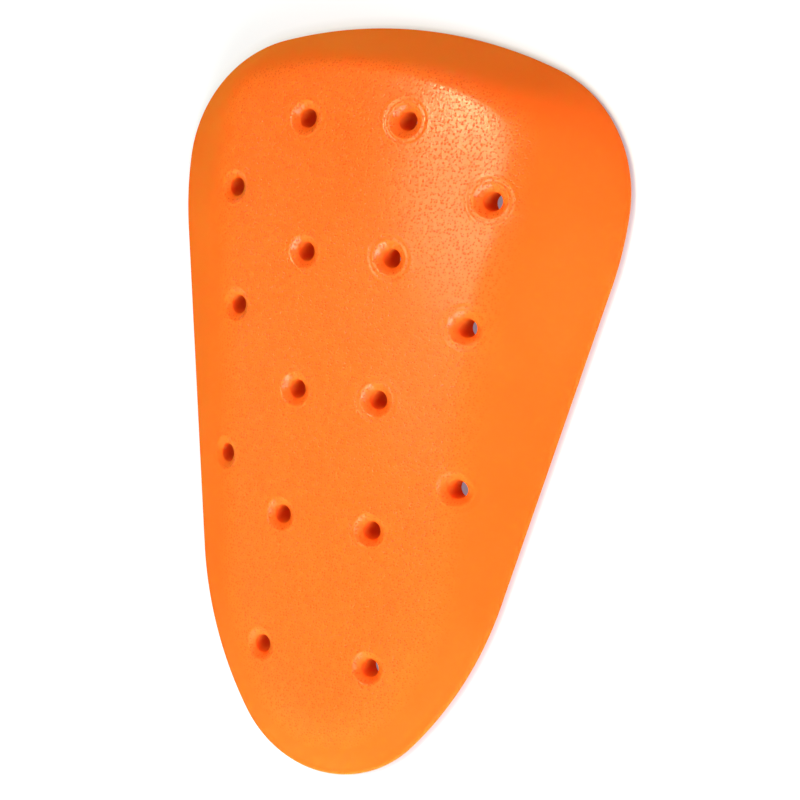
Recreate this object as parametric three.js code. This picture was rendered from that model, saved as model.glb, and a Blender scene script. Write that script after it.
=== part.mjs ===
// A moulded hip impact pad: one dished shell of soft orange foam, egg shaped in plan, with vents through it.
// It lies on its rim with the hollow side down. Millimetres. +Y points to the broad end, +Z up through the
// domed face, and the origin is in the rim's resting plane, midway along and across the pad.

import * as THREE from 'three';

const { clamp, degToRad, lerp, smoothstep } = THREE.MathUtils;

// Plan: half the rim is a chain of tangent arcs, from the middle of the broad end round to the tip.
// A straight taper follows the hip side. Its length and the tip's radius close the chain on the pad's axis.
const PAD_LENGTH = 200;
const BROAD_END = { radius: 132, turnDeg: 18 };
const SHOULDER = { radius: 36, turnDeg: 72 };
const HIP_SIDE = { radius: 92, turnDeg: 12 };
const LOWER_SIDE = { radius: 100, turnDeg: 27 };

// Crown of the domed face: a ridge that falls steadily to the tip and bows down to the broad end, arched across.
const CROWN_HEIGHT = 22.6;
const CROWN_FALL_DEG = 7.4;
const CROWN_ARCH_RADIUS = 190;
const CROWN_BOW_START = 27;
const CROWN_BOW_RADIUS = 260;

// Flanks: slopes from the rounded rim up to the crown, steeper towards the broad end. The crease where they
// meet the crown is filleted, most of all near the tip.
const SIDE_FLANK_DEG = 42;
const BROAD_FLANK_DEG = 67;
const STEEPENING = { from: 61, to: 92 };
const EDGE_RADIUS = 2.5;
const TIP_BLEND = 8;
const SIDE_BLEND = 4.6;
const BROAD_BLEND = 4;
const SOFTENING = { from: 10, to: -70 };

// Inner side: a flat land round the rim to rest on, then a hollow with a flatter arch than the crown. The wall
// between hollow and crown is even for most of the length and thins towards the tip.
const LAND_INNER_INSET = 6;
const CROWN_WALL = 12.2;
const TIP_WALL = 7.6;
const WALL_THINNING = { from: -55, to: -100 };
const HOLLOW_ARCH_RADIUS = 300;
const HOLLOW_BLEND = 4;

// Vents: straight bores along Z with a wide rounded mouth on the domed face and a small one inside.
const VENT_RADIUS = 2.5;
const MOUTH_RADIUS = 4.4;
const MOUTH_DEPTH = 1.6;
const INNER_MOUTH_RADIUS = 3;
const INNER_MOUTH_DEPTH = 0.6;
const MOUTH_KNEE = 0.3;
const VENTS = [
  // outer column, left
  { x: -38.0, y: 52.8 },
  { x: -34.0, y: 22.0 },
  { x: -35.2, y: -18.3 },
  // inner column, left
  { x: -17.6, y: 72.9 },
  { x: -13.1, y: 38.6 },
  { x: -12.9, y: 2.5 },
  { x: -14.8, y: -31.4 },
  { x: -18.6, y: -67.6 },
  // inner column, right
  { x: 11.7, y: 75.2 },
  { x: 12.0, y: 40.1 },
  { x: 11.4, y: 3.3 },
  { x: 12.2, y: -31.0 },
  { x: 14.6, y: -67.6 },
  // outer column, right
  { x: 37.0, y: 57.9 },
  { x: 33.9, y: 25.3 },
  { x: 34.3, y: -16.4 },
];

// Mesh fineness.
const HALF_RIM_STEPS = 44;
const RIM_SAMPLES = 720;
const EDGE_STEPS = 6;
const VENT_SIDES = 14;
const PLAN_SPACING = 9;
const RING_SPACING = 1.4;
const HALVINGS = 40;
const VENT_MARGIN = 1.8;
const GUARD_INSET = 2.5;

const FOAM = new THREE.MeshStandardMaterial({ color: 0xfb7a28, roughness: 0.55, metalness: 0 });

// Where an arc ends, seen from its start: the heading is measured clockwise from +X.
function arcStep(radius, heading, turn) {
  const along = radius * (Math.sin(heading + turn) - Math.sin(heading));
  const down = radius * (Math.cos(heading) - Math.cos(heading + turn));
  return new THREE.Vector2(along, -down);
}

// Adds a clockwise arc that leaves the path's end at the given heading.
function addArc(path, radius, heading, turn) {
  const centre = path.currentPoint.clone();
  centre.x -= radius * Math.sin(heading);
  centre.y -= radius * Math.cos(heading);
  const start = Math.PI / 2 - heading;
  path.absarc(centre.x, centre.y, radius, start, start - turn, true);
}

// The right half of the rim, from the broad end's middle to the tip.
function makeHalfRim() {
  const upper = [BROAD_END, SHOULDER, HIP_SIDE];
  const lower = [LOWER_SIDE];
  const end = new THREE.Vector2(0, PAD_LENGTH / 2);
  let heading = 0;
  for (const { radius, turnDeg } of upper) {
    end.add(arcStep(radius, heading, degToRad(turnDeg)));
    heading += degToRad(turnDeg);
  }
  const taperHeading = heading;
  for (const { radius, turnDeg } of lower) {
    end.add(arcStep(radius, heading, degToRad(turnDeg)));
    heading += degToRad(turnDeg);
  }
  const tipHeading = heading;
  const tipTurn = Math.PI - tipHeading;

  // Two unknowns, the taper's length and the tip's radius, bring the chain to the tip on the axis.
  const taperWay = new THREE.Vector2(Math.cos(taperHeading), -Math.sin(taperHeading));
  const tipWay = arcStep(1, tipHeading, tipTurn);
  const left = new THREE.Vector2(0, -PAD_LENGTH / 2).sub(end);
  const span = taperWay.cross(tipWay);
  const taperLength = left.cross(tipWay) / span;
  const tipRadius = taperWay.cross(left) / span;

  const path = new THREE.Path();
  path.moveTo(0, PAD_LENGTH / 2);
  heading = 0;
  for (const { radius, turnDeg } of upper) {
    addArc(path, radius, heading, degToRad(turnDeg));
    heading += degToRad(turnDeg);
    path.currentPoint.copy(path.curves.at(-1).getPoint(1));
  }
  const taperEnd = taperWay.multiplyScalar(taperLength).add(path.currentPoint);
  path.lineTo(taperEnd.x, taperEnd.y);
  for (const { radius, turnDeg } of lower) {
    addArc(path, radius, heading, degToRad(turnDeg));
    heading += degToRad(turnDeg);
    path.currentPoint.copy(path.curves.at(-1).getPoint(1));
  }
  addArc(path, tipRadius, tipHeading, tipTurn);
  return path;
}

const halfRim = makeHalfRim();

// A place on the half rim, with its outward normal.
function rimPlace(fraction) {
  const { x, y } = halfRim.getPointAt(fraction);
  const tangent = halfRim.getTangentAt(fraction);
  return { x, y, normal: new THREE.Vector2(-tangent.y, tangent.x) };
}

const rimSamples = Array.from({ length: RIM_SAMPLES + 1 }, (_, i) => rimPlace(i / RIM_SAMPLES));

// Distance of a point of the plan in from the nearest rim place.
function rimInset(x, y) {
  let nearest = rimSamples[0];
  let gap = Infinity;
  for (const place of rimSamples) {
    const distance = Math.hypot(Math.abs(x) - place.x, y - place.y);
    if (distance < gap) {
      gap = distance;
      nearest = place;
    }
  }
  return (nearest.x - Math.abs(x)) * nearest.normal.x + (nearest.y - y) * nearest.normal.y;
}

// The lower of two heights, with a fillet where they are within the blend of each other.
function smoothLower(a, b, blend) {
  const overlap = Math.max(blend - Math.abs(a - b), 0);
  return Math.min(a, b) - overlap * overlap / (4 * blend);
}

// Share of the way from the flanks of the sides to those of the broad end.
function broadShare(y) {
  return smoothstep(y, STEEPENING.from, STEEPENING.to);
}

function flankSlope(y) {
  return Math.tan(degToRad(lerp(SIDE_FLANK_DEG, BROAD_FLANK_DEG, broadShare(y))));
}

function creaseBlend(y) {
  const lower = lerp(TIP_BLEND, SIDE_BLEND, smoothstep(y, SOFTENING.to, SOFTENING.from));
  return lerp(lower, BROAD_BLEND, broadShare(y));
}

function ridgeHeight(y) {
  const bow = Math.max(y - CROWN_BOW_START, 0) ** 2 / (2 * CROWN_BOW_RADIUS);
  return CROWN_HEIGHT + y * Math.tan(degToRad(CROWN_FALL_DEG)) - bow;
}

function crownHeight(x, y) {
  return ridgeHeight(y) - x * x / (2 * CROWN_ARCH_RADIUS);
}

function hollowHeight(x, y) {
  const share = (y - WALL_THINNING.from) / (WALL_THINNING.to - WALL_THINNING.from);
  const wall = lerp(CROWN_WALL, TIP_WALL, clamp(share, 0, 1));
  return ridgeHeight(y) - wall - x * x / (2 * HOLLOW_ARCH_RADIUS);
}

// Height of the flank's slope, tangent to the rim's rounded edge.
function flankHeight(inset, slope) {
  return EDGE_RADIUS * (1 + Math.hypot(1, slope)) + (inset - EDGE_RADIUS) * slope;
}

// Height of the hollow's flank, which starts at the land's inner edge.
function hollowFlankHeight(inset, slope) {
  return (inset - LAND_INNER_INSET) * slope;
}

function domedFace(x, y) {
  return smoothLower(flankHeight(rimInset(x, y), flankSlope(y)), crownHeight(x, y), creaseBlend(y));
}

function hollowFace(x, y) {
  return smoothLower(hollowFlankHeight(rimInset(x, y), flankSlope(y)), hollowHeight(x, y), HOLLOW_BLEND);
}

// The inset at which a flank meets the crown or the hollow's roof, found by halving.
function creaseInset(place, flank, roof) {
  let low = 0;
  let high = PAD_LENGTH / 6;
  for (let i = 0; i < HALVINGS; i += 1) {
    const inset = (low + high) / 2;
    const { x, y } = insetPlan(place, inset);
    if (flank(inset, flankSlope(y)) < roof(x, y)) {
      low = inset;
    } else {
      high = inset;
    }
  }
  return low;
}

// The point of the plan that lies straight in from a rim place.
function insetPlan(place, inset) {
  const x = place.side * (place.x - inset * place.normal.x);
  return { x, y: place.y - inset * place.normal.y };
}

// Columns run round the whole rim: down the right half and back up the left.
function makeColumns() {
  const right = Array.from({ length: HALF_RIM_STEPS + 1 }, (_, i) => rimPlace(i / HALF_RIM_STEPS));
  const left = right.slice(1, -1).reverse();
  return [
    ...right.map((place) => ({ ...place, side: 1 })),
    ...left.map((place) => ({ ...place, side: -1 })),
  ];
}

// The circle through three points of the plan.
function circleThrough(a, b, c) {
  const [bx, by, cx, cy] = [b.x - a.x, b.y - a.y, c.x - a.x, c.y - a.y];
  const twice = 2 * (bx * cy - by * cx);
  const [bb, cc] = [bx * bx + by * by, cx * cx + cy * cy];
  const x = (cy * bb - by * cc) / twice;
  const y = (bx * cc - cx * bb) / twice;
  return { x: a.x + x, y: a.y + y, square: x * x + y * y };
}

// Triangles between the points of the plan, none with another point inside its circle. Points are added one
// by one: the triangles whose circles hold the new point go, and the gap's edges are joined to it.
function joinPlan(points) {
  const far = 20 * PAD_LENGTH;
  const all = [...points, { x: -far, y: -far }, { x: far, y: -far }, { x: 0, y: far }];
  const triangle = (...corners) => ({ corners, circle: circleThrough(...corners.map((i) => all[i])) });
  let triangles = [triangle(points.length, points.length + 1, points.length + 2)];
  points.forEach((point, index) => {
    const gap = new Map();
    triangles = triangles.filter(({ corners, circle }) => {
      const square = (point.x - circle.x) ** 2 + (point.y - circle.y) ** 2;
      if (square > circle.square * (1 - 1e-9)) {
        return true;
      }
      corners.forEach((from, i) => {
        const to = corners[(i + 1) % 3];
        if (!gap.delete(`${to},${from}`)) {
          gap.set(`${from},${to}`, [from, to]);
        }
      });
      return false;
    });
    for (const [from, to] of gap.values()) {
      triangles.push(triangle(from, to, index));
    }
  });
  return triangles.map(({ corners }) => corners);
}

// The plan's points: the land's inner edge, the crease's lines, the vents' mouths and a lattice between them.
// Guard points just outside the land's inner edge and one in each vent's middle keep those edges whole.
function makePlan(columns) {
  const inner = columns.map((place) => ({ ...insetPlan(place, LAND_INNER_INSET), kind: 'inner edge' }));
  const guards = columns.map((place) => ({ ...insetPlan(place, GUARD_INSET), kind: 'guard' }));
  const mouths = VENTS.flatMap((vent) => Array.from({ length: VENT_SIDES }, (_, i) => {
    const angle = 2 * Math.PI * i / VENT_SIDES;
    const way = new THREE.Vector2(Math.cos(angle), Math.sin(angle));
    return { x: vent.x + MOUTH_RADIUS * way.x, y: vent.y + MOUTH_RADIUS * way.y, kind: 'mouth', vent, way };
  }));
  const middles = VENTS.map(({ x, y }) => ({ x, y, kind: 'guard' }));

  const free = [];
  for (const place of columns) {
    const crease = creaseInset(place, flankHeight, crownHeight);
    const reach = creaseBlend(place.y) / flankSlope(place.y);
    const innerCrease = creaseInset(place, hollowFlankHeight, hollowHeight);
    const innerReach = HOLLOW_BLEND / flankSlope(place.y);
    const insets = [crease - reach, crease, crease + reach, innerCrease, innerCrease + innerReach];
    insets.sort((a, b) => a - b);
    let last = LAND_INNER_INSET;
    for (const inset of insets) {
      if (inset - last > RING_SPACING) {
        free.push(insetPlan(place, inset));
        last = inset;
      }
    }
  }
  const rowStep = PLAN_SPACING * Math.sqrt(3) / 2;
  const rows = Math.floor(PAD_LENGTH / 2 / rowStep);
  for (let row = -rows; row <= rows; row += 1) {
    for (let column = -rows; column <= rows; column += 1) {
      const spot = { x: (column + (row % 2) / 2) * PLAN_SPACING, y: row * rowStep };
      const slope = flankSlope(spot.y);
      const rise = hollowFlankHeight(rimInset(spot.x, spot.y), slope) - hollowHeight(spot.x, spot.y);
      if (rise > HOLLOW_BLEND / 2 + slope * PLAN_SPACING / 2) {
        free.push(spot);
      }
    }
  }
  const clearOfVents = ({ x, y }) => VENTS.every(
    (vent) => Math.hypot(vent.x - x, vent.y - y) > MOUTH_RADIUS + VENT_MARGIN,
  );
  const shown = [...inner, ...mouths, ...free.filter(clearOfVents)];
  const points = [...shown, ...guards, ...middles];
  const triangles = joinPlan(points).filter((corners) => corners.every((i) => i < shown.length));
  return { points: shown, triangles };
}

// One vent's bore, from its mouth in the domed face to its mouth in the hollow, as rings between the two.
function boreRings(vent) {
  const knee = (mouthRadius) => VENT_RADIUS + MOUTH_KNEE * (mouthRadius - VENT_RADIUS);
  const kneeDepth = (1 - MOUTH_KNEE) / 2;
  const rings = [
    { radius: knee(MOUTH_RADIUS), face: domedFace, drop: kneeDepth * MOUTH_DEPTH },
    { radius: VENT_RADIUS, face: domedFace, drop: MOUTH_DEPTH },
    { radius: VENT_RADIUS, face: hollowFace, drop: -INNER_MOUTH_DEPTH },
    { radius: knee(INNER_MOUTH_RADIUS), face: hollowFace, drop: -kneeDepth * INNER_MOUTH_DEPTH },
  ];
  return rings.map(({ radius, face, drop }) => ({ way }) => {
    const x = vent.x + radius * way.x;
    const y = vent.y + radius * way.y;
    return [x, y, face(x, y) - drop];
  });
}

// The closed shell: the plan raised to the domed face and, turned over, to the hollow, with the rounded rim
// and the flat land closing the outside and a bore closing each vent.
function makeShell() {
  const columns = makeColumns();
  const plan = makePlan(columns);
  const positions = [];
  const triangles = [];
  const put = (...xyz) => positions.push(...xyz) / 3 - 1;
  const bridge = (near, far) => near.forEach((corner, i) => {
    const j = (i + 1) % near.length;
    triangles.push(corner, near[j], far[j], corner, far[j], far[i]);
  });

  const domed = plan.points.map(({ x, y }) => put(x, y, domedFace(x, y)));
  const hollow = plan.points.map(({ x, y, kind, vent, way }) => {
    if (kind === 'inner edge') {
      return put(x, y, 0);
    }
    if (kind === 'mouth') {
      const mouth = way.clone().multiplyScalar(INNER_MOUTH_RADIUS).add(vent);
      return put(mouth.x, mouth.y, hollowFace(mouth.x, mouth.y));
    }
    return put(x, y, hollowFace(x, y));
  });
  for (const [a, b, c] of plan.triangles) {
    triangles.push(domed[a], domed[b], domed[c], hollow[a], hollow[c], hollow[b]);
  }

  // Rim: from the flank round the edge to the land, column by column.
  const rings = [columns.map((_, i) => domed[i])];
  for (let step = EDGE_STEPS; step >= 0; step -= 1) {
    rings.push(columns.map((place) => {
      const angle = (Math.PI - Math.atan(flankSlope(place.y))) * step / EDGE_STEPS;
      const { x, y } = insetPlan(place, EDGE_RADIUS * (1 - Math.sin(angle)));
      return put(x, y, EDGE_RADIUS * (1 - Math.cos(angle)));
    }));
  }
  rings.push(columns.map((_, i) => hollow[i]));
  rings.slice(1).forEach((ring, i) => bridge(rings[i], ring));

  // Bores.
  VENTS.forEach((vent, index) => {
    const first = columns.length + index * VENT_SIDES;
    const mouth = Array.from({ length: VENT_SIDES }, (_, i) => first + i);
    const steps = boreRings(vent).map((at) => mouth.map((i) => put(...at(plan.points[i]))));
    const walls = [mouth.map((i) => domed[i]), ...steps, mouth.map((i) => hollow[i])];
    walls.slice(1).forEach((ring, i) => bridge(walls[i], ring));
  });

  const geometry = new THREE.BufferGeometry();
  geometry.setAttribute('position', new THREE.Float32BufferAttribute(positions, 3));
  geometry.setIndex(triangles);
  geometry.computeVertexNormals();
  return geometry;
}

const impactPad = new THREE.Mesh(makeShell(), FOAM);
impactPad.name = 'impact_pad';

const hipPad = new THREE.Group();
hipPad.add(impactPad);

export default hipPad;
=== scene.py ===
"""Dresses the hip impact pad: one moulded foam shell with a domed face, a hollow inner side and vents.

Lengths in the classes are millimetres in the row's frame: +Y towards the broad end, +Z up through the
domed face, z = 0 in the plane that the rim rests on. Meshes are written in metres.
"""

import logging
import math
from dataclasses import dataclass, field
from enum import Enum

import bpy
import numpy as np
from mathutils import Matrix, Vector
from mathutils.geometry import delaunay_2d_cdt

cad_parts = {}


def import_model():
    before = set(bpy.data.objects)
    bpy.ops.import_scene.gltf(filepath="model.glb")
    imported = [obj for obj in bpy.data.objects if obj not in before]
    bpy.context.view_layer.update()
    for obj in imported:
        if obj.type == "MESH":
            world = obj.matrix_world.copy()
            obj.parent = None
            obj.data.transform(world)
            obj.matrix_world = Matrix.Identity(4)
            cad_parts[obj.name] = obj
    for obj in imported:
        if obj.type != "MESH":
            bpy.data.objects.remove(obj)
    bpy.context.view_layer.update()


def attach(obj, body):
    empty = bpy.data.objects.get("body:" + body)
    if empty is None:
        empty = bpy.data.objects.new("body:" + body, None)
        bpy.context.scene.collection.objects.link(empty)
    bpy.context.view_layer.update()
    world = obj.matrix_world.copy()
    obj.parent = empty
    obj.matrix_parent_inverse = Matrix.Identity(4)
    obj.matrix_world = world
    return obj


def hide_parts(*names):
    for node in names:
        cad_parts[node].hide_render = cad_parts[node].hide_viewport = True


MM = 0.001
log = logging.getLogger("hip_pad")


def smooth_lower(a: np.ndarray, b: np.ndarray, blend: np.ndarray | float) -> np.ndarray:
    """The lower of two heights, with a fillet where they are within the blend of each other.

    Args:
        a: First height.
        b: Second height.
        blend: Difference of the heights at which the fillet starts.

    Returns:
        min(a, b) less the square of the overlap over four times the blend.
    """
    overlap = np.maximum(blend - np.abs(a - b), 0.0)
    return np.minimum(a, b) - overlap**2 / (4.0 * blend)


def smooth_step(low: float, high: float, value: np.ndarray) -> np.ndarray:
    """A share that rises from 0 at low to 1 at high, level at both ends.

    Args:
        low: Value at which the rise starts.
        high: Value at which it is complete.
        value: Where the share is wanted.

    Returns:
        t * t * (3 - 2t), with t the clamped place between low and high.
    """
    t = np.clip((value - low) / (high - low), 0.0, 1.0)
    return t * t * (3.0 - 2.0 * t)


def rounded_profile(corners: list[tuple[float, float]], radii: list[float], step: float) -> np.ndarray:
    """A broken line in a plane with each inner corner rounded by an arc.

    An arc of radius R leaves both arms of a corner at R * tan(turn / 2) from it. Straight runs are split
    into lengths of about one step, arcs into eight.

    Args:
        corners: The line's points, in order.
        radii: Arc radius at each inner corner.
        step: Spacing of the points on straight runs.

    Returns:
        The profile's points, one row each.
    """
    arc_steps = 8
    points = [np.array(p, float) for p in corners]
    pieces: list[np.ndarray] = []
    last = points[0]
    for before, corner, after, radius in zip(points, points[1:], points[2:], radii):
        into = (corner - before) / np.linalg.norm(corner - before)
        out = (after - corner) / np.linalg.norm(after - corner)
        turn = math.atan2(into[0] * out[1] - into[1] * out[0], into @ out)
        start = corner - into * radius * math.tan(abs(turn) / 2.0)
        runs = max(int(np.linalg.norm(start - last) / step), 1)
        pieces.append(last + np.linspace(0.0, 1.0, runs + 1)[:-1, None] * (start - last))
        side = math.copysign(1.0, turn) * np.array([-into[1], into[0]])
        angle = np.linspace(0.0, abs(turn), arc_steps + 1)[:, None]
        arc = start + radius * (side * (1.0 - np.cos(angle)) + into * np.sin(angle))
        pieces.append(arc[:-1])
        last = arc[-1]
    runs = max(int(np.linalg.norm(points[-1] - last) / step), 1)
    pieces.append(last + np.linspace(0.0, 1.0, runs + 1)[:, None] * (points[-1] - last))
    return np.vstack(pieces)


class Face(Enum):
    """The two broad faces of the shell."""

    DOMED = "domed"
    HOLLOW = "hollow"


@dataclass(frozen=True)
class Stretch:
    """A stretch of the half rim that bends steadily or runs straight.

    The heading is the way of travel, clockwise from +X, so the outward normal is its (sin, cos).
    """

    start: tuple[float, float]
    heading: float
    length: float
    radius: float = math.inf

    def at(self, run: np.ndarray) -> tuple[np.ndarray, np.ndarray]:
        """Points and outward normals at lengths along the stretch.

        An arc's points lie one radius out from its centre, which is one radius in from its start. A
        straight stretch's points are its start plus the run along the heading.

        Args:
            run: Lengths from the stretch's start.

        Returns:
            Points and normals, a row for each run.
        """
        start = np.array(self.start)
        if math.isinf(self.radius):
            way = np.array([math.cos(self.heading), -math.sin(self.heading)])
            normal = np.array([math.sin(self.heading), math.cos(self.heading)])
            return start + run[:, None] * way, np.broadcast_to(normal, (run.size, 2))
        heading = self.heading + run / self.radius
        normal = np.stack([np.sin(heading), np.cos(heading)], axis=1)
        return self.centre() + self.radius * normal, normal

    def centre(self) -> np.ndarray:
        """Centre of the stretch's arc."""
        normal = np.array([math.sin(self.heading), math.cos(self.heading)])
        return np.array(self.start) - self.radius * normal

    def reach(self, x: np.ndarray, y: np.ndarray) -> np.ndarray:
        """Distance in from the stretch, for the points that lie straight in from it.

        Args:
            x: Points' place across, on the stretch's side.
            y: Points' place along.

        Returns:
            Distances, infinite for the points that don't.
        """
        slack = 1e-6
        if math.isinf(self.radius):
            dx, dy = x - self.start[0], y - self.start[1]
            inset = -(dx * math.sin(self.heading) + dy * math.cos(self.heading))
            run = dx * math.cos(self.heading) - dy * math.sin(self.heading)
            on = (run >= -slack) & (run <= self.length + slack)
        else:
            dx, dy = x - self.centre()[0], y - self.centre()[1]
            inset = self.radius - np.hypot(dx, dy)
            turned = np.mod(np.arctan2(dx, dy) - self.heading + slack, 2.0 * math.pi)
            on = turned <= self.length / self.radius + 2.0 * slack
        return np.where(on, inset, np.inf)


@dataclass
class RimOutline:
    """The pad's egg outline: arcs and one straight taper on each side, mirrored about X = 0."""

    length: float = 200.0
    broad_end: tuple[float, float] = (132.0, 18.0)
    shoulder: tuple[float, float] = (36.0, 72.0)
    hip_side: tuple[float, float] = (92.0, 12.0)
    lower_side: tuple[float, float] = (100.0, 27.0)
    stretches: list[Stretch] = field(init=False)

    def __post_init__(self) -> None:
        """Chains the stretches from the broad end to the tip.

        Each arc is a radius and a turn in degrees. The taper's length and the tip's radius are the two
        unknowns that bring the chain to the tip on the axis.
        """
        tip = self._stretches(0.0, 1.0)[-1]
        taper_heading = tip.heading - math.radians(self.lower_side[1])
        taper_way = np.array([math.cos(taper_heading), -math.sin(taper_heading)])
        tip_way = self._arc_way(1.0, tip.heading, math.pi - tip.heading)
        left = np.array([0.0, -self.length / 2.0]) - np.array(tip.start)
        self.stretches = self._stretches(*np.linalg.solve(np.stack([taper_way, tip_way], axis=1), left))

    @staticmethod
    def _arc_way(radius: float, heading: float, turn: float) -> np.ndarray:
        """The step from one end of an arc to the other: the radius times the change of its normal."""
        end = heading + turn
        step = [math.sin(end) - math.sin(heading), math.cos(end) - math.cos(heading)]
        return radius * np.array(step)

    def _stretches(self, taper: float, tip: float) -> list[Stretch]:
        """The six stretches for a taper length and a tip radius."""
        place = np.array([0.0, self.length / 2.0])
        heading = 0.0
        made: list[Stretch] = []
        for radius, turn_deg in (self.broad_end, self.shoulder, self.hip_side):
            turn = math.radians(turn_deg)
            made.append(Stretch(tuple(place), heading, radius * turn, radius))
            place = place + self._arc_way(radius, heading, turn)
            heading += turn
        made.append(Stretch(tuple(place), heading, taper))
        place = place + taper * np.array([math.cos(heading), -math.sin(heading)])
        radius, turn = self.lower_side[0], math.radians(self.lower_side[1])
        made.append(Stretch(tuple(place), heading, radius * turn, radius))
        place = place + self._arc_way(radius, heading, turn)
        heading += turn
        made.append(Stretch(tuple(place), heading, tip * (math.pi - heading), tip))
        return made

    def columns(self, half_steps: int) -> tuple[np.ndarray, np.ndarray]:
        """Places spaced evenly round the whole rim, clockwise from the broad end.

        Args:
            half_steps: Number of steps along each half.

        Returns:
            Points and outward normals, a row for each column.
        """
        ends = np.cumsum([0.0] + [s.length for s in self.stretches])
        run = np.linspace(0.0, ends[-1], half_steps + 1)
        which = np.clip(np.searchsorted(ends, run, side="right") - 1, 0, len(self.stretches) - 1)
        points = np.empty((run.size, 2))
        normals = np.empty((run.size, 2))
        for index, stretch in enumerate(self.stretches):
            on = which == index
            points[on], normals[on] = stretch.at(run[on] - ends[index])
        mirror = np.array([-1.0, 1.0])
        left = slice(-2, 0, -1)
        return np.vstack([points, points[left] * mirror]), np.vstack([normals, normals[left] * mirror])

    def near(self, x: np.ndarray, y: np.ndarray) -> np.ndarray:
        """Distance in from the rim: the least over the stretches that a point lies straight in from.

        Args:
            x: Places across.
            y: Places along.

        Returns:
            Distances, infinite for points that lie straight in from no stretch.
        """
        across = np.abs(x)
        return np.min([stretch.reach(across, y) for stretch in self.stretches], axis=0)


@dataclass
class PadForm:
    """Heights of the pad's domed face and of its hollow over the plan."""

    rim: RimOutline = field(default_factory=RimOutline)
    crown_height: float = 22.6
    crown_fall_deg: float = 7.4
    crown_arch_radius: float = 190.0
    crown_bow_start: float = 27.0
    crown_bow_radius: float = 260.0
    side_flank_deg: float = 42.0
    broad_flank_deg: float = 67.0
    steepening: tuple[float, float] = (61.0, 92.0)
    tip_blend: float = 8.0
    side_blend: float = 4.6
    broad_blend: float = 5.0
    softening: tuple[float, float] = (-70.0, 10.0)
    edge_radius: float = 2.5
    land_inner_inset: float = 6.0
    land_blend: float = 0.8
    crown_wall: float = 12.2
    tip_wall: float = 7.6
    wall_thinning: tuple[float, float] = (-55.0, -100.0)
    hollow_arch_radius: float = 300.0
    hollow_blend: float = 4.0
    swell: float = 0.1
    swell_waves: tuple[float, float, float, float, float] = (7.3, 19.0, 11.7, 9.1, 13.3)
    swell_insets: tuple[float, float] = (2.0, 16.0)
    crown_fade: float = 3.0
    gloss_fade: float = 6.0
    gloss_setback: float = 3.5
    gloss_corner_along: tuple[float, float] = (30.0, 70.0)
    gloss_corner_across: tuple[float, float] = (0.0, 25.0)
    gloss_rise: tuple[float, float] = (-50.0, 40.0)
    tip_gloss: float = 0.35
    hollow_fade: float = 3.0

    def slope(self, y: np.ndarray) -> np.ndarray:
        """Flank's slope: its angle rises from the sides' to the broad end's along the pad."""
        share = smooth_step(*self.steepening, y)
        return np.tan(np.radians(self.side_flank_deg + (self.broad_flank_deg - self.side_flank_deg) * share))

    def blend(self, y: np.ndarray) -> np.ndarray:
        """Fillet of the crease: widest at the tip, narrower along the sides and at the broad end."""
        lower = self.tip_blend + (self.side_blend - self.tip_blend) * smooth_step(*self.softening, y)
        return lower + (self.broad_blend - lower) * smooth_step(*self.steepening, y)

    def ridge(self, y: np.ndarray) -> np.ndarray:
        """Crown's height on the axis: a steady fall to the tip, bowed down towards the broad end."""
        bow = np.maximum(y - self.crown_bow_start, 0.0) ** 2 / (2.0 * self.crown_bow_radius)
        return self.crown_height + y * math.tan(math.radians(self.crown_fall_deg)) - bow

    def crown(self, x: np.ndarray, y: np.ndarray) -> np.ndarray:
        """Crown's height: the ridge, arched across by x squared."""
        return self.ridge(y) - x * x / (2.0 * self.crown_arch_radius)

    def flank(self, inset: np.ndarray, slope: np.ndarray) -> np.ndarray:
        """Flank's height: a straight slope, tangent to the rim's rounded edge."""
        rise = self.edge_radius * (1.0 + np.hypot(1.0, slope))
        return rise + (inset - self.edge_radius) * slope

    def unevenness(self, x: np.ndarray, y: np.ndarray, inset: np.ndarray) -> np.ndarray:
        """Slight swell of the moulded skin: a sum of slow waves that dies out towards the rim."""
        across, drift, along, slant, cross = self.swell_waves
        waves = np.sin(x / across + 0.8 * np.sin(y / drift)) * np.cos(y / along + 0.6)
        waves = waves + 0.7 * np.sin((x + 1.6 * y) / slant + 1.3) * np.sin((1.4 * x - y) / cross)
        return self.swell * waves * smooth_step(*self.swell_insets, inset)

    def height(self, face: Face, x: np.ndarray, y: np.ndarray) -> np.ndarray:
        """Height of a face over the plan.

        The domed face is the lower of flank and crown. The hollow is the lower of its own flank, which
        starts at the land's inner edge, and its roof, and never under the land. The wall between roof and
        ridge is even for most of the length and thins towards the tip.

        Args:
            face: Which face.
            x: Places across.
            y: Places along.

        Returns:
            Heights above the resting plane.
        """
        inset = self.rim.near(x, y)
        slope = self.slope(y)
        if face is Face.DOMED:
            lower = smooth_lower(self.flank(inset, slope), self.crown(x, y), self.blend(y))
            return lower + self.unevenness(x, y, inset)
        start, end = self.wall_thinning
        thinning = np.clip((y - start) / (end - start), 0.0, 1.0)
        wall = self.crown_wall + (self.tip_wall - self.crown_wall) * thinning
        roof = self.ridge(y) - wall - x * x / (2.0 * self.hollow_arch_radius)
        lower = smooth_lower((inset - self.land_inner_inset) * slope, roof, self.hollow_blend)
        return -smooth_lower(-lower, np.zeros_like(lower), self.land_blend)

    def above_crease(self, x: np.ndarray, y: np.ndarray) -> np.ndarray:
        """How far the flank's slope, carried on, lies above the crown: 0 at the crease, less on the flank."""
        return self.flank(self.rim.near(x, y), self.slope(y)) - self.crown(x, y)

    def crown_share(self, x: np.ndarray, y: np.ndarray) -> np.ndarray:
        """Share of the crown's grain: 1 on the crown, fading to 0 across the crease to the flank."""
        return smooth_step(-self.crown_fade, self.crown_fade, self.above_crease(x, y))

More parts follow.
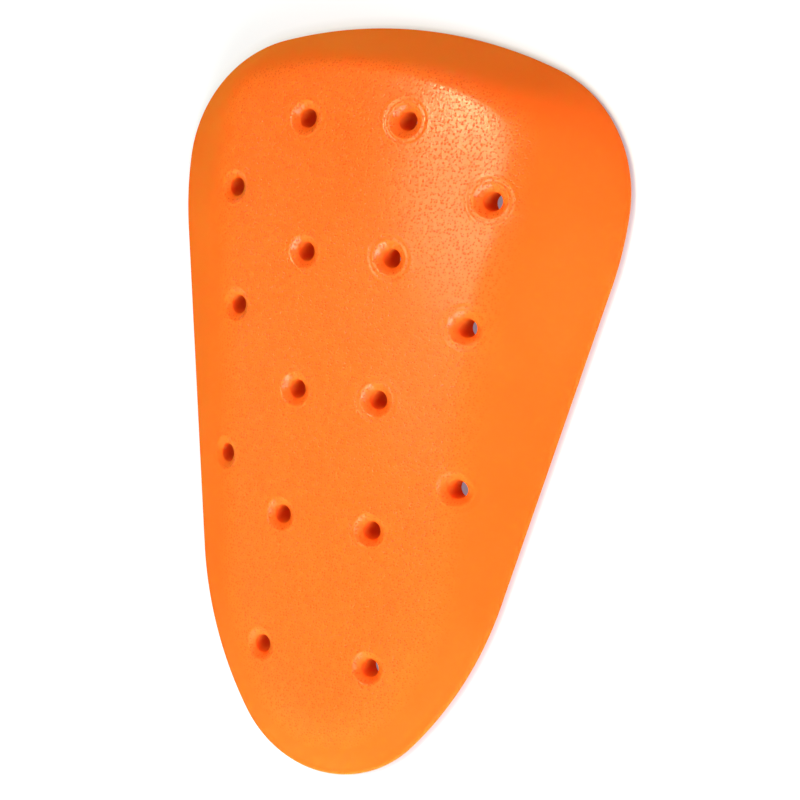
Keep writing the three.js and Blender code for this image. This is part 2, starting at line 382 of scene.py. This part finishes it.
    def hollow_share(self, z: np.ndarray) -> np.ndarray:
        """Share of the hollow's skin: 0 on the land, 1 from a few millimetres up."""
        return smooth_step(0.0, self.hollow_fade, z)

    def gloss_share(self, x: np.ndarray, y: np.ndarray) -> np.ndarray:
        """Share of the crown's gloss: it reaches the crease at one broad corner and weakens to the tip.

        Elsewhere the gloss is set back from the crease by a fixed height of the flank above the crown.

        Args:
            x: Places across.
            y: Places along.

        Returns:
            Shares from 0 to 1.
        """
        corner = smooth_step(*self.gloss_corner_along, y) * smooth_step(*self.gloss_corner_across, x)
        reach = self.above_crease(x, y) + self.crown_fade - self.gloss_setback * (1.0 - corner)
        along = self.tip_gloss + (1.0 - self.tip_gloss) * smooth_step(*self.gloss_rise, y)
        return smooth_step(0.0, self.gloss_fade, reach) * along


@dataclass
class Vents:
    """The straight vents: their places and the shape of their mouths."""

    places: tuple[tuple[float, float, float], ...] = (
        # across, along, ripple of the skin round the mouth
        (-38.0, 52.8, 0.3), (-34.0, 22.0, 0.3), (-35.2, -18.3, 0.3),
        (-17.6, 72.9, 0.5), (-13.1, 38.6, 0.4), (-12.9, 2.5, 0.4), (-14.8, -31.4, 0.3), (-18.6, -67.6, 0.3),
        (11.7, 75.2, 0.9), (12.0, 40.1, 0.6), (11.4, 3.3, 0.5), (12.2, -31.0, 0.4), (14.6, -67.6, 0.4),
        (37.0, 57.9, 1.0), (33.9, 25.3, 0.9), (34.3, -16.4, 0.6),
    )
    bore_radius: float = 2.5
    mouth_radius: float = 4.4
    mouth_depth: float = 1.6
    lip_round: float = 1.3
    throat_round: float = 0.7
    inner_mouth_radius: float = 3.0
    inner_mouth_depth: float = 0.6
    inner_round: float = 0.4
    join_radius: float = 7.2
    sides: int = 48
    bore_rows: int = 7
    ripple: float = 0.22
    ripple_wave: float = 1.9
    ripple_rise: float = 0.9
    ripple_fade: float = 1.5
    lip_inset: float = 0.7
    throat_depth: float = 1.0
    profile_step: float = 0.45

    def table(self) -> np.ndarray:
        """The vents as rows of across, along and ripple."""
        return np.array(self.places)

    def ways(self) -> np.ndarray:
        """Unit vectors round a vent, one row for each side."""
        angle = np.linspace(0.0, 2.0 * math.pi, self.sides, endpoint=False)
        return np.stack([np.cos(angle), np.sin(angle)], axis=1)

    def profile(self, face: Face) -> np.ndarray:
        """A mouth's profile, from the skin round it into the bore, as rows of radius and depth."""
        if face is Face.DOMED:
            mouth, depth, rounds = self.mouth_radius, self.mouth_depth, [self.lip_round, self.throat_round]
        else:
            mouth, depth = self.inner_mouth_radius, self.inner_mouth_depth
            rounds = [self.inner_round, self.inner_round]
        throat = depth + self.throat_depth
        mouth_line = [(self.join_radius, 0.0), (mouth, 0.0)]
        bore_line = [(self.bore_radius, depth), (self.bore_radius, throat)]
        return rounded_profile(mouth_line + bore_line, rounds, self.profile_step)

    def ripples(self, radius: np.ndarray, strength: np.ndarray) -> np.ndarray:
        """Rings in the skin outside a mouth: a wave in the radius that dies out before the join.

        Args:
            radius: Distances from a vent's axis.
            strength: Each vent's own share of the ripple.

        Returns:
            Heights of the rings.
        """
        out = radius - self.mouth_radius
        wave = np.cos(2.0 * math.pi * out / self.ripple_wave)
        rise = smooth_step(0.0, self.ripple_rise, out)
        fall = 1.0 - smooth_step(self.ripple_fade, self.join_radius - self.mouth_radius, out)
        return self.ripple * strength * wave * rise * fall


@dataclass(frozen=True)
class FoamFinish:
    """Soft moulded elastomer foam: satin orange skin, finely pitted on the crown.

    Spacings and depths are millimetres, and a pit's widths and floor are shares of the pits' spacing. The
    crown's colour carries painted light on the raised skin and painted shade in the pits.
    """

    colour: tuple[float, float, float] = (0.95, 0.146, 0.0175)
    deep_colour: tuple[float, float, float] = (0.93, 0.13, 0.0135)
    # raised colour is painted light on the grain's raised skin, pit colour is painted shade in its pits
    raised_lit_colour: tuple[float, float, float] = (0.97, 0.188, 0.025)
    pit_shade_colour: tuple[float, float, float] = (0.72, 0.085, 0.0085)
    roughness: float = 0.6
    specular: float = 0.0
    crown_gloss: float = 0.78
    gloss_roughness: float = 0.2
    glow: float = 1.0
    glow_reach: tuple[float, float, float] = (2.4, 0.5, 0.2)
    pit_spacing: float = 0.92
    pit_scatter: float = 0.9
    pit_widths: tuple[float, float] = (0.12, 0.46)
    pit_floor: float = 0.06
    # strength and relief heights of the grain's painted light and shade
    pit_shade_strength: float = 0.8
    shade_heights: tuple[float, float] = (1.65, 0.5)
    fine_spacing: float = 0.9
    fine_roughness: float = 0.6
    fine_share: float = 0.8
    fine_warp: float = 0.25
    cloud_spacing: float = 38.0
    cloud_range: tuple[float, float] = (0.35, 0.75)
    noise_detail: float = 3.0
    grain_depth: float = 0.11

    def material(self) -> bpy.types.Material:
        """The foam's node material: matt foam that light enters, under a thin gloss.

        Returns:
            The material.
        """
        material = bpy.data.materials.new("foam_skin")
        material.use_nodes = True
        tree = material.node_tree
        shader = tree.nodes["Principled BSDF"]
        crown = self._share(tree, ImpactPad.GRAIN)
        relief = self._relief(tree)
        normal = self._bump(tree, relief, crown)
        tree.links.new(self._tint(tree, relief, crown), shader.inputs["Base Color"])
        tree.links.new(normal, shader.inputs["Normal"])
        tree.links.new(normal, shader.inputs["Coat Normal"])

        gloss = tree.nodes.new("ShaderNodeMapRange")
        gloss.inputs["To Max"].default_value = self.crown_gloss
        tree.links.new(self._share(tree, ImpactPad.GLOSS), gloss.inputs["Value"])
        tree.links.new(gloss.outputs["Result"], shader.inputs["Coat Weight"])
        shader.inputs["Coat Roughness"].default_value = self.gloss_roughness
        shader.inputs["Roughness"].default_value = self.roughness
        shader.inputs["Specular IOR Level"].default_value = self.specular
        shader.inputs["Subsurface Weight"].default_value = self.glow
        shader.inputs["Subsurface Radius"].default_value = self.glow_reach
        shader.inputs["Subsurface Scale"].default_value = MM
        return material

    def _share(self, tree: bpy.types.NodeTree, name: str) -> bpy.types.NodeSocket:
        """One of the mesh's shares."""
        node = tree.nodes.new("ShaderNodeAttribute")
        node.attribute_name = name
        return node.outputs["Fac"]

    def _noise(self, tree: bpy.types.NodeTree, spacing: float) -> bpy.types.Node:
        """A noise over the pad's own coordinates, with features of about the spacing."""
        place = tree.nodes.new("ShaderNodeTexCoord")
        node = tree.nodes.new("ShaderNodeTexNoise")
        node.inputs["Scale"].default_value = 1.0 / (spacing * MM)
        node.inputs["Detail"].default_value = self.noise_detail
        tree.links.new(place.outputs["Object"], node.inputs["Vector"])
        return node

    def _relief(self, tree: bpy.types.NodeTree) -> bpy.types.NodeSocket:
        """The grain's height: pits of mixed widths in plan, on a fine noise.

        A pit rises smoothly from its floor to its own width, by the distance to the nearest of the
        scattered points. The fine noise also shifts the points.

        Args:
            tree: The material's nodes.

        Returns:
            The height, in units of a pit's depth.
        """
        nodes, links = tree.nodes, tree.links
        fine = self._noise(tree, self.fine_spacing)
        fine.inputs["Roughness"].default_value = self.fine_roughness
        place = nodes.new("ShaderNodeTexCoord")
        warp = nodes.new("ShaderNodeVectorMath")
        warp.operation = "MULTIPLY_ADD"
        warp.inputs[1].default_value = (self.fine_warp * MM,) * 3
        links.new(fine.outputs["Color"], warp.inputs[0])
        links.new(place.outputs["Object"], warp.inputs[2])

        pits = nodes.new("ShaderNodeTexVoronoi")
        pits.voronoi_dimensions = "2D"
        pits.inputs["Scale"].default_value = 1.0 / (self.pit_spacing * MM)
        pits.inputs["Randomness"].default_value = self.pit_scatter
        links.new(warp.outputs[0], pits.inputs["Vector"])
        width = nodes.new("ShaderNodeMapRange")
        width.inputs["To Min"].default_value, width.inputs["To Max"].default_value = self.pit_widths
        links.new(pits.outputs["Color"], width.inputs["Value"])
        dip = nodes.new("ShaderNodeMapRange")
        dip.interpolation_type = "SMOOTHSTEP"
        dip.inputs["From Min"].default_value = self.pit_floor
        links.new(pits.outputs["Distance"], dip.inputs["Value"])
        links.new(width.outputs["Result"], dip.inputs["From Max"])

        relief = nodes.new("ShaderNodeMath")
        relief.operation = "MULTIPLY_ADD"
        relief.inputs[1].default_value = self.fine_share
        links.new(fine.outputs["Fac"], relief.inputs[0])
        links.new(dip.outputs["Result"], relief.inputs[2])
        return relief.outputs[0]

    def _bump(self, tree: bpy.types.NodeTree, relief: bpy.types.NodeSocket,
              crown: bpy.types.NodeSocket) -> bpy.types.NodeSocket:
        """The normal that the grain gives, weighed by the share of the crown."""
        weighed = tree.nodes.new("ShaderNodeMath")
        weighed.operation = "MULTIPLY"
        tree.links.new(relief, weighed.inputs[0])
        tree.links.new(crown, weighed.inputs[1])
        bump = tree.nodes.new("ShaderNodeBump")
        bump.inputs["Strength"].default_value = 1.0
        bump.inputs["Distance"].default_value = self.grain_depth * MM
        tree.links.new(weighed.outputs[0], bump.inputs["Height"])
        return bump.outputs["Normal"]

    def _tint(self, tree: bpy.types.NodeTree, relief: bpy.types.NodeSocket,
              crown: bpy.types.NodeSocket) -> bpy.types.NodeSocket:
        """The foam's colour.

        A slow noise leads from the foam's colour to its deep one. On the crown the colour follows the
        grain instead, with painted light on the raised skin and painted shade in the pits, by the strength of
        the painted shade.

        Args:
            tree: The material's nodes.
            relief: The grain's height.
            crown: The share of the crown.

        Returns:
            The colour.
        """
        nodes, links = tree.nodes, tree.links
        spread = nodes.new("ShaderNodeMapRange")
        spread.inputs["From Min"].default_value, spread.inputs["From Max"].default_value = self.cloud_range
        links.new(self._noise(tree, self.cloud_spacing).outputs["Fac"], spread.inputs["Value"])
        depth = nodes.new("ShaderNodeMapRange")
        depth.inputs["From Min"].default_value, depth.inputs["From Max"].default_value = self.shade_heights
        links.new(relief, depth.inputs["Value"])
        # Strength of the painted shade in the pits, on the crown only.
        pitted = nodes.new("ShaderNodeMath")
        pitted.operation = "MULTIPLY"
        pitted.inputs[1].default_value = self.pit_shade_strength
        links.new(crown, pitted.inputs[0])

        # On the crown the colour runs from painted light on the raised skin to painted shade in the pits.
        plain, grain_light_and_shade, dressed = (nodes.new("ShaderNodeMix") for _ in range(3))
        for mix, share in ((plain, spread.outputs["Result"]), (grain_light_and_shade, depth.outputs["Result"]),
                           (dressed, pitted.outputs[0])):
            mix.data_type = "RGBA"
            links.new(share, mix.inputs["Factor"])
        plain.inputs["A"].default_value = (*self.colour, 1.0)
        plain.inputs["B"].default_value = (*self.deep_colour, 1.0)
        grain_light_and_shade.inputs["A"].default_value = (*self.raised_lit_colour, 1.0)
        grain_light_and_shade.inputs["B"].default_value = (*self.pit_shade_colour, 1.0)
        links.new(plain.outputs["Result"], dressed.inputs["A"])
        links.new(grain_light_and_shade.outputs["Result"], dressed.inputs["B"])
        return dressed.outputs["Result"]


@dataclass
class ImpactPad:
    """The pad itself, as one closed shell."""

    GRAIN = "crown_share"
    GLOSS = "gloss_share"

    form: PadForm = field(default_factory=PadForm)
    vents: Vents = field(default_factory=Vents)
    finish: FoamFinish = field(default_factory=FoamFinish)
    half_steps: int = 240
    plan_inset: float = 7.5
    spacing: float = 1.15
    flank_rows: int = 8
    edge_rows: int = 14
    land_rows: int = 14
    hollow_grain: float = 0.5
    hollow_gloss: float = 0.08

    def plan(self, points: np.ndarray, normals: np.ndarray) -> tuple[np.ndarray, np.ndarray]:
        """Points of the plan inside the rim's band and outside the mouths, and their triangles.

        The band's inner edge comes first, then the circles round the vents, then a lattice of
        equilateral triangles between them. The points are joined by the Delaunay rule, and the
        triangles whose corners all lie on one loop are left out.

        Args:
            points: Rim points, a row for each column.
            normals: Their outward normals.

        Returns:
            Plan points and corner triples, counterclockwise from above.
        """
        edge = points - self.plan_inset * normals
        table = self.vents.table()
        circles = table[:, None, :2] + self.vents.join_radius * self.vents.ways()[None]
        row_step = self.spacing * math.sqrt(3.0) / 2.0
        rows = int(self.form.rim.length / 2.0 / row_step)
        row, column = np.meshgrid(np.arange(-rows, rows + 1), np.arange(-rows, rows + 1), indexing="ij")
        x = ((column + (row % 2) / 2.0) * self.spacing).ravel()
        y = (row * row_step).ravel()
        margin = 0.6 * self.spacing
        inset = self.form.rim.near(x, y)
        gap = np.hypot(x[:, None] - table[None, :, 0], y[:, None] - table[None, :, 1]).min(axis=1)
        clear = (inset > self.plan_inset + margin) & (gap > self.vents.join_radius + margin)
        free = np.isfinite(inset) & clear
        plan = np.vstack([edge, circles.reshape(-1, 2), np.stack([x[free], y[free]], axis=1)])

        loops = [np.arange(len(edge))]
        first = len(edge) + self.vents.sides * np.arange(len(table))
        loops += list(first[:, None] + np.arange(self.vents.sides))
        edges = np.vstack([np.stack([loop, np.roll(loop, -1)], axis=1) for loop in loops])
        found = delaunay_2d_cdt([Vector(p) for p in plan.tolist()], edges.tolist(), [], 0, 1e-7)
        origin = np.array([source[0] for source in found[3]])
        corners = origin[np.array(found[2])]
        ring = np.full(len(plan), -1)
        ring[len(edge):len(edge) + circles.shape[0] * circles.shape[1]] = np.repeat(
            np.arange(len(table)), self.vents.sides)
        ring[:len(edge)] = len(table)
        kinds = ring[corners]
        inside = (kinds[:, 0] >= 0) & (kinds[:, 0] == kinds[:, 1]) & (kinds[:, 1] == kinds[:, 2])
        return plan, corners[~inside]

    def rim_rows(self, points: np.ndarray, normals: np.ndarray) -> np.ndarray:
        """The rim's band, as a profile carried round the outline.

        From the plan's edge the profile runs down the flank, round the edge's arc to the flat land, and
        over the land's inner edge into the hollow's flank.

        Args:
            points: Rim points, a row for each column.
            normals: Their outward normals.

        Returns:
            Points with shape (rows, columns, 3), without the rows that belong to the plan.
        """
        slope = self.form.slope(points[:, 1])
        radius = self.form.edge_radius
        tangent = math.pi - np.arctan(slope)
        flank_end = radius * (1.0 - np.sin(tangent))
        share = np.linspace(0.0, 1.0, self.flank_rows + 1)[1:-1, None]
        flank = self.plan_inset + share * (flank_end - self.plan_inset)
        angle = tangent * np.linspace(1.0, 0.0, self.edge_rows + 1)[:, None]
        edge = radius * (1.0 - np.sin(angle))
        edge_height = radius * (1.0 - np.cos(angle))
        land = np.linspace(radius, self.plan_inset, self.land_rows + 1)[1:-1, None] + np.zeros_like(slope)

        def placed(inset: np.ndarray) -> tuple[np.ndarray, np.ndarray]:
            """Plan places straight in from the columns."""
            return points[:, 0] - inset * normals[:, 0], points[:, 1] - inset * normals[:, 1]

        rows = []
        for inset, height in ((flank, Face.DOMED), (edge, edge_height), (land, Face.HOLLOW)):
            x, y = placed(inset)
            z = self.form.height(height, x, y) if isinstance(height, Face) else height
            rows.append(np.stack([x, y, z], axis=2))
        return np.vstack(rows)

    def bore_rows(self) -> np.ndarray:
        """The vents, as a profile carried round each axis from the domed face to the hollow.

        Heights are the face's own height less the profile's depth near each mouth, and even steps
        between the two throats along the bore.

        Returns:
            Points with shape (vents, rows, sides, 3), without the rows that belong to the plan.
        """
        table = self.vents.table()
        ways = self.vents.ways()
        ends = {}
        for face, sign in ((Face.DOMED, -1.0), (Face.HOLLOW, 1.0)):
            radius, depth = self.vents.profile(face)[1:].T
            x = table[:, None, None, 0] + radius[None, :, None] * ways[None, None, :, 0]
            y = table[:, None, None, 1] + radius[None, :, None] * ways[None, None, :, 1]
            z = self.form.height(face, x, y) + sign * depth[None, :, None]
            if face is Face.DOMED:
                z = z + self.vents.ripples(radius[None, :, None], table[:, None, None, 2])
            ends[face] = np.stack([x, y, z], axis=3)
        top, bottom = ends[Face.DOMED], ends[Face.HOLLOW][:, ::-1]
        share = np.linspace(0.0, 1.0, self.vents.bore_rows + 2)[None, 1:-1, None, None]
        wall = top[:, -1:] + share * (bottom[:, :1] - top[:, -1:])
        return np.concatenate([top, wall, bottom], axis=1)

    def shell(self) -> tuple[np.ndarray, np.ndarray, np.ndarray, dict[str, np.ndarray]]:
        """The whole shell's mesh.

        Returns:
            Points, triangles, quads and each point's shares of grain and gloss.
        """
        points, normals = self.form.rim.columns(self.half_steps)
        plan, corners = self.plan(points, normals)
        x, y = plan.T
        domed = np.column_stack([plan, self.form.height(Face.DOMED, x, y)])
        hollow = np.column_stack([plan, self.form.height(Face.HOLLOW, x, y)])
        rim = self.rim_rows(points, normals)
        bores = self.bore_rows()

        count, columns, sides = len(plan), len(points), self.vents.sides
        rim_index = 2 * count + np.arange(rim.shape[0] * columns).reshape(-1, columns)
        plan_edge = np.arange(columns)[None]
        rim_index = np.vstack([plan_edge, rim_index, count + plan_edge])
        first = 2 * count + rim.shape[0] * columns
        bore_index = first + np.arange(bores[..., 0].size).reshape(bores.shape[:3])
        mouths = columns + np.arange(len(bores) * sides).reshape(-1, 1, sides)
        bore_index = np.concatenate([mouths, bore_index, count + mouths], axis=1)

        def walls(index: np.ndarray) -> np.ndarray:
            """Quads between neighbouring rows, closed round the last axis."""
            near, far = index[..., :-1, :], index[..., 1:, :]
            ring = [near, np.roll(near, -1, axis=-1), np.roll(far, -1, axis=-1), far]
            return np.stack(ring, axis=-1).reshape(-1, 4)

        triangles = np.vstack([corners, count + corners[:, ::-1]])
        quads = np.vstack([walls(rim_index), walls(bore_index)])
        vertices = np.vstack([domed, hollow, rim.reshape(-1, 3), bores.reshape(-1, 3)])

        outer = self.vents.profile(Face.DOMED)[1:, 0]
        inner = self.vents.profile(Face.HOLLOW)[:0:-1, 0]
        outer_lip = smooth_step(self.vents.bore_radius, self.vents.mouth_radius - self.vents.lip_inset, outer)
        inner_lip = smooth_step(self.vents.bore_radius, self.vents.inner_mouth_radius, inner)
        domed_rule = {self.GRAIN: self.form.crown_share, self.GLOSS: self.form.gloss_share}
        hollow_most = {self.GRAIN: self.hollow_grain, self.GLOSS: self.hollow_gloss}
        shares = {}
        for name, rule in domed_rule.items():
            bore_share = np.zeros(bores.shape[:3])
            above, under = bores[:, :outer.size], bores[:, -inner.size:]
            bore_share[:, :outer.size] = rule(above[..., 0], above[..., 1]) * outer_lip[None, :, None]
            bore_share[:, -inner.size:] = self.form.hollow_share(under[..., 2]) * inner_lip[None, :, None]
            bore_share[:, -inner.size:] *= hollow_most[name]
            share = np.zeros(len(vertices))
            share[:count] = rule(x, y)
            share[count:2 * count] = hollow_most[name] * self.form.hollow_share(hollow[:, 2])
            share[first:] = bore_share.ravel()
            shares[name] = share
        return vertices, triangles, quads, shares

    def build(self) -> bpy.types.Object:
        """Makes the pad's object, dresses it and ties it to the frame.

        Returns:
            The pad's object.
        """
        vertices, triangles, quads, shares = self.shell()
        mesh = bpy.data.meshes.new("impact_pad_skin")
        mesh.from_pydata((vertices * MM).tolist(), [], triangles.tolist() + quads.tolist())
        for name, share in shares.items():
            mesh.attributes.new(name, "FLOAT", "POINT").data.foreach_set("value", share)
        mesh.polygons.foreach_set("use_smooth", np.ones(len(mesh.polygons), dtype=bool))
        mesh.materials.append(self.finish.material())
        mesh.update()
        pad = bpy.data.objects.new("impact_pad_skin", mesh)
        bpy.context.collection.objects.link(pad)
        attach(pad, "root")
        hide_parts("impact_pad")
        log.info("pad: %d points, %d triangles, %d quads", len(vertices), len(triangles), len(quads))
        return pad


@dataclass
class PhotoCamera:
    """The camera at the photograph's viewing angle, with no shift."""

    lean_deg: float = 27.0
    pitch_deg: float = 4.39
    roll_deg: float = 7.73
    distance: float = 700.0
    aside: tuple[float, float] = (4.85, -18.35)
    aim: tuple[float, float, float] = (0.0, 19.93, 2.5)
    lens: float = 118.39

    def build(self) -> bpy.types.Object:
        """Makes the camera and sets it for the scene.

        The view turns the pad about Y by the lean, then about X by the pitch, then about the line of
        sight by the roll. The camera stands the distance away along that line, a little aside.

        Returns:
            The camera's object.
        """
        angles = np.radians([self.lean_deg, self.pitch_deg, self.roll_deg])
        (lean_c, pitch_c, roll_c), (lean_s, pitch_s, roll_s) = np.cos(angles), np.sin(angles)
        turned = np.array([[lean_c, 0, -lean_s], [0, 1, 0], [lean_s, 0, lean_c]])
        tipped = np.array([[1, 0, 0], [0, pitch_c, -pitch_s], [0, pitch_s, pitch_c]])
        rolled = np.array([[roll_c, roll_s, 0], [-roll_s, roll_c, 0], [0, 0, 1]])
        back = (rolled @ tipped @ turned).T
        place = back @ np.array([*self.aside, self.distance]) + np.array(self.aim)
        data = bpy.data.cameras.new("photo_camera")
        data.lens = self.lens
        data.clip_start = 0.01
        camera = bpy.data.objects.new("photo_camera", data)
        matrix = Matrix(back.tolist()).to_4x4()
        matrix.translation = Vector((place * MM).tolist())
        camera.matrix_world = matrix
        bpy.context.collection.objects.link(camera)
        bpy.context.scene.camera = camera
        log.info("camera at %s mm", np.round(place, 1).tolist())
        return camera


@dataclass(frozen=True)
class Softbox:
    """A soft area light, in metres and watts."""

    AIM = Vector((0.0, 0.0, 0.015))

    name: str
    place: tuple[float, float, float]
    width: float
    height: float
    power: float
    colour: tuple[float, float, float] = (1.0, 1.0, 1.0)

    def build(self) -> bpy.types.Object:
        """Makes the light, turned to the pad's middle."""
        data = bpy.data.lights.new(self.name, "AREA")
        data.shape = "RECTANGLE"
        data.size, data.size_y = self.width, self.height
        data.energy = self.power
        data.color = self.colour
        light = bpy.data.objects.new(self.name, data)
        light.location = self.place
        way = self.AIM - Vector(self.place)
        light.rotation_euler = way.to_track_quat("-Z", "Y").to_euler()
        bpy.context.collection.objects.link(light)
        return light


@dataclass
class Studio:
    """A lit white table with a shadow painted under and round the pad, and soft light."""

    SHADE = "glow_and_painted_shadow_share"

    softboxes: tuple[Softbox, ...] = (
        Softbox("key", (-0.12, 0.33, 0.94), 0.12, 0.12, 3.4, (1.0, 1.0, 0.6)),
        Softbox("spot", (0.0, 0.02, 1.0), 0.2, 0.2, 0.2, (1.0, 1.0, 0.6)),
        Softbox("top", (0.0, 0.03, 1.1), 0.6, 0.6, 6.3, (1.0, 1.0, 0.6)),
        Softbox("front", (0.22, -0.92, 0.33), 0.6, 0.6, 8.9, (1.0, 1.0, 0.95)),
        Softbox("right", (0.69, -0.42, 0.59), 0.6, 0.6, 8.9),
        Softbox("left", (-0.641, -0.641, 0.423), 0.6, 0.6, 0.5),
    )
    sky: float = 0.03
    table_colour: tuple[float, float, float] = (0.53, 0.53, 0.55)
    table_glow_colour: tuple[float, float, float] = (0.72, 0.76, 1.0)
    table_glow: float = 0.62
    table_drop: float = 0.2
    table_roughness: float = 0.8
    table_specular: float = 0.1
    table_half_steps: int = 120
    glow_and_painted_shadow_rings: tuple[tuple[float, float], ...] = (
        # distance in from the pad's rim, share of the glow; the lower shares paint the pad's shadow
        (12.0, 0.38), (2.5, 0.1), (0.0, 0.4), (-1.5, 0.8), (-4.0, 1.0), (-60.0, 1.0), (-4000.0, 1.0),
    )

    def table(self, rim: RimOutline) -> bpy.types.Object:
        """Makes the table: rings that follow the pad's rim, whose glow fades out under and round the pad as a
        painted shadow.

        Each ring's points are the rim's own, moved along its normals by the ring's distance.

        Args:
            rim: The outline that stands on the table.

        Returns:
            The table's object.
        """
        points, normals = rim.columns(self.table_half_steps)
        inset, share = np.array(self.glow_and_painted_shadow_rings).T
        flat = points[None] - inset[:, None, None] * normals[None]
        vertices = np.dstack([flat, np.full(flat.shape[:2], -self.table_drop)]).reshape(-1, 3)
        index = np.arange(len(vertices)).reshape(len(inset), -1)
        near, far = index[:-1], index[1:]
        quads = np.stack([near, np.roll(near, -1, axis=1), np.roll(far, -1, axis=1), far], axis=-1)
        mesh = bpy.data.meshes.new("table_top")
        faces = quads.reshape(-1, 4).tolist() + [index[0, ::-1].tolist()]
        mesh.from_pydata((vertices * MM).tolist(), [], faces)
        # Glow shares, lowered under and round the pad to paint its shadow on the table.
        shares = np.repeat(share, len(points))
        mesh.attributes.new(self.SHADE, "FLOAT", "POINT").data.foreach_set("value", shares)
        mesh.materials.append(self.table_finish())
        table = bpy.data.objects.new("table_top", mesh)
        bpy.context.collection.objects.link(table)
        return table

    def table_finish(self) -> bpy.types.Material:
        """The table's matt white, with a glow that follows the mesh's share of it, dimmed to a painted shadow
        under and round the pad.
        """
        material = bpy.data.materials.new("table_white")
        material.use_nodes = True
        nodes, links = material.node_tree.nodes, material.node_tree.links
        shader = nodes["Principled BSDF"]
        shade = nodes.new("ShaderNodeAttribute")
        shade.attribute_name = self.SHADE
        # The emission is dimmed where the shares paint the pad's shadow.
        glow = nodes.new("ShaderNodeMath")
        glow.operation = "MULTIPLY"
        glow.inputs[1].default_value = self.table_glow
        links.new(shade.outputs["Fac"], glow.inputs[0])
        links.new(glow.outputs[0], shader.inputs["Emission Strength"])
        shader.inputs["Base Color"].default_value = (*self.table_colour, 1.0)
        shader.inputs["Roughness"].default_value = self.table_roughness
        shader.inputs["Specular IOR Level"].default_value = self.table_specular
        shader.inputs["Emission Color"].default_value = (*self.table_glow_colour, 1.0)
        return material

    def build(self, rim: RimOutline) -> None:
        """Makes the table, the lights and the even light of the room.

        Args:
            rim: The outline of what stands on the table.
        """
        self.table(rim)
        for softbox in self.softboxes:
            softbox.build()
        scene = bpy.context.scene
        world = bpy.data.worlds.new("room")
        world.use_nodes = True
        background = world.node_tree.nodes["Background"]
        background.inputs["Color"].default_value = (1.0, 1.0, 1.0, 1.0)
        background.inputs["Strength"].default_value = self.sky
        scene.world = world
        scene.view_settings.view_transform = "Standard"
        log.info("studio: %d softboxes", len(self.softboxes))


def main() -> None:
    """Builds the camera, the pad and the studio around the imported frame."""
    logging.basicConfig(level=logging.INFO, format="%(name)s: %(message)s")
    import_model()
    PhotoCamera().build()
    pad = ImpactPad()
    pad.build()
    Studio().build(pad.form.rim)


if __name__ == "__main__":
    main()
